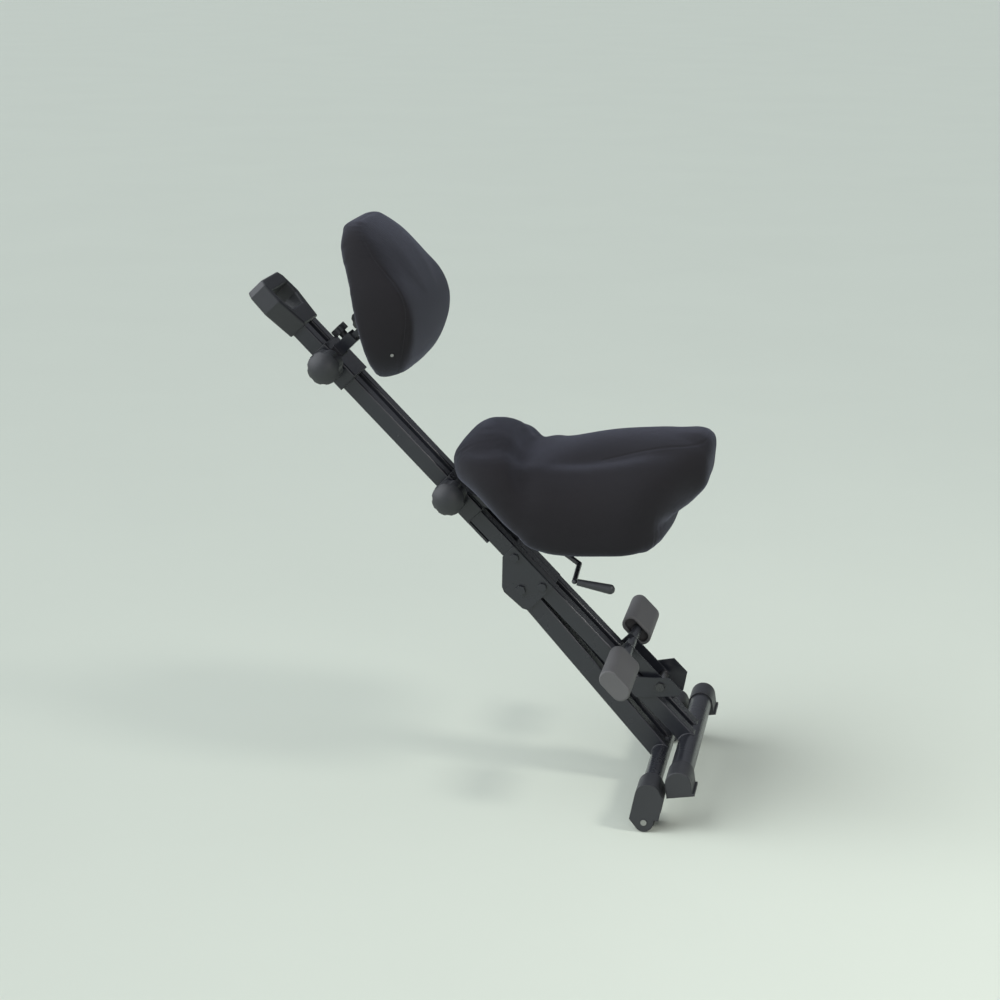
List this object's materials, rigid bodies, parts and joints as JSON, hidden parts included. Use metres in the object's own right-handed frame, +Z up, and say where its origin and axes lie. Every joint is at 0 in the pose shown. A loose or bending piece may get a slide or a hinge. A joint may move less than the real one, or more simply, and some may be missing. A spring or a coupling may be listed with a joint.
{
  "type": "folding sit-stand stool",
  "caption": "Folding sit-stand stool with a saddle seat and a backrest clamped to a leaning twin-rail column, a fold-down footrest, a folding rear leg on wheels and a carrying handle.",
  "frame": {"origin": "on the floor, midway between the points where the two rear wheels touch it", "axes": "+X to the front of the stool, +Y to its left, +Z up; the stool is folded and tipped back on its wheels"},
  "size_m": [0.7073, 0.461, 0.8722],
  "materials": {
    "black_steel": "satin black powder coat",
    "black_fabric": "close-woven black upholstery cloth",
    "black_plastic": "fine-grained black moulding",
    "grey_rubber": "matt dark grey rubber",
    "wheel_rubber": "matt black rubber",
    "bright_steel": "zinc plated"
  },
  "bodies": {
    "frame": {"column_rail_right": "black_steel", "column_rail_left": "black_steel", "carry_handle": "black_plastic", "handle_screws": "bright_steel", "base_cross_tube": "black_steel", "front_foot_right": "black_plastic", "front_foot_left": "black_plastic", "hinge_plate_right": "black_steel", "hinge_plate_left": "black_steel", "hinge_spacer": "black_steel", "hinge_bolts": "black_steel", "leg_pivot_bolt": "black_steel", "footrest_plate_right": "black_steel", "footrest_plate_left": "black_steel", "footrest_pivot_bolt": "bright_steel"},
    "rear_leg": {"leg_tube_right": "black_steel", "leg_tube_left": "black_steel", "rear_cross_tube": "black_steel", "wheel_housing_right": "black_plastic", "wheel_housing_left": "black_plastic", "wheel_axles": "bright_steel"},
    "right_wheel": {"wheel_right": "wheel_rubber"},
    "left_wheel": {"wheel_left": "wheel_rubber"},
    "footrest": {"footrest_arm": "black_steel", "footrest_bar": "black_steel", "footrest_pad_right": "grey_rubber", "footrest_pad_left": "grey_rubber", "footrest_pivot_sleeve": "bright_steel", "footrest_stop_bolt": "bright_steel"},
    "seat_carriage": {"seat_sleeve": "black_steel", "seat_clamp_boss": "black_steel", "seat_arm_right": "black_steel", "seat_arm_left": "black_steel", "tilt_housing": "black_steel", "seat_tilt_pin": "bright_steel"},
    "seat_knob": {"seat_clamp_knob": "black_plastic", "seat_clamp_stud": "bright_steel"},
    "tilt_lever": {"tilt_lever_rod": "black_steel", "tilt_lever_grip": "black_plastic"},
    "seat": {"seat_bracket": "black_steel", "seat_screws": "bright_steel", "seat_pan": "black_plastic", "seat_cushion": "black_fabric"},
    "backrest_carriage": {"backrest_sleeve": "black_steel", "backrest_clamp_boss": "black_steel", "depth_bar_guide": "black_steel"},
    "backrest_knob": {"backrest_clamp_knob": "black_plastic", "backrest_clamp_stud": "bright_steel"},
    "depth_slide": {"depth_bar": "black_steel"},
    "depth_screw": {"depth_star_screw": "black_plastic"},
    "backrest": {"backrest_shell": "black_plastic", "backrest_screws": "bright_steel", "backrest_cushion": "black_fabric"},
    "tilt_knob": {"backrest_tilt_knob": "black_plastic", "backrest_tilt_pin": "bright_steel"}
  },
  "joints": [
    {"name": "rear_leg_fold", "type": "hinge", "parent": "frame", "child": "rear_leg", "pos_m": [-0.21501, 0, 0.30897], "axis": [0, 1, 0], "range_deg": [0, 70]},
    {"name": "right_wheel_spin", "type": "hinge", "parent": "rear_leg", "child": "right_wheel", "pos_m": [0, 0, 0.0155], "axis": [0, 1, 0], "continuous": true},
    {"name": "left_wheel_spin", "type": "hinge", "parent": "rear_leg", "child": "left_wheel", "pos_m": [0, 0, 0.0155], "axis": [0, 1, 0], "continuous": true},
    {"name": "footrest_fold", "type": "hinge", "parent": "frame", "child": "footrest", "pos_m": [0.00255, 0, 0.16485], "axis": [0, 1, 0], "range_deg": [0, 115]},
    {"name": "seat_height", "type": "slide", "parent": "frame", "child": "seat_carriage", "axis": [-0.6972, 0, 0.7169], "range_m": [-0.025, 0.06]},
    {"name": "seat_clamp_turn", "type": "hinge", "parent": "seat_carriage", "child": "seat_knob", "pos_m": [-0.32007, -0.04, 0.45789], "axis": [0, 1, 0], "continuous": true},
    {"name": "seat_tilt", "type": "hinge", "parent": "seat_carriage", "child": "seat", "pos_m": [-0.18326, 0, 0.43052], "axis": [0, 1, 0], "range_deg": [-4, 5]},
    {"name": "tilt_lever_lift", "type": "hinge", "parent": "seat_carriage", "child": "tilt_lever", "pos_m": [-0.17326, -0.028, 0.39752], "axis": [0, -1, 0], "range_deg": [0, 15]},
    {"name": "backrest_height", "type": "slide", "parent": "frame", "child": "backrest_carriage", "axis": [-0.6972, 0, 0.7169], "range_m": [-0.01, 0.03]},
    {"name": "backrest_clamp_turn", "type": "hinge", "parent": "backrest_carriage", "child": "backrest_knob", "pos_m": [-0.5104, -0.04, 0.6536], "axis": [0, 1, 0], "continuous": true},
    {"name": "backrest_depth", "type": "slide", "parent": "backrest_carriage", "child": "depth_slide", "axis": [0.7169, 0, 0.6972], "range_m": [-0.005, 0.025]},
    {"name": "depth_screw_turn", "type": "hinge", "parent": "backrest_carriage", "child": "depth_screw", "pos_m": [-0.48805, 0, 0.6837], "axis": [-0.6972, 0, 0.7169], "continuous": true},
    {"name": "backrest_tilt", "type": "hinge", "parent": "depth_slide", "child": "backrest", "pos_m": [-0.46997, 0, 0.71244], "axis": [0, 1, 0], "range_deg": [-8, 8]},
    {"name": "tilt_knob_turn", "type": "hinge", "parent": "depth_slide", "child": "tilt_knob", "pos_m": [-0.46997, 0, 0.71244], "axis": [0, 1, 0], "continuous": true}
  ]
}
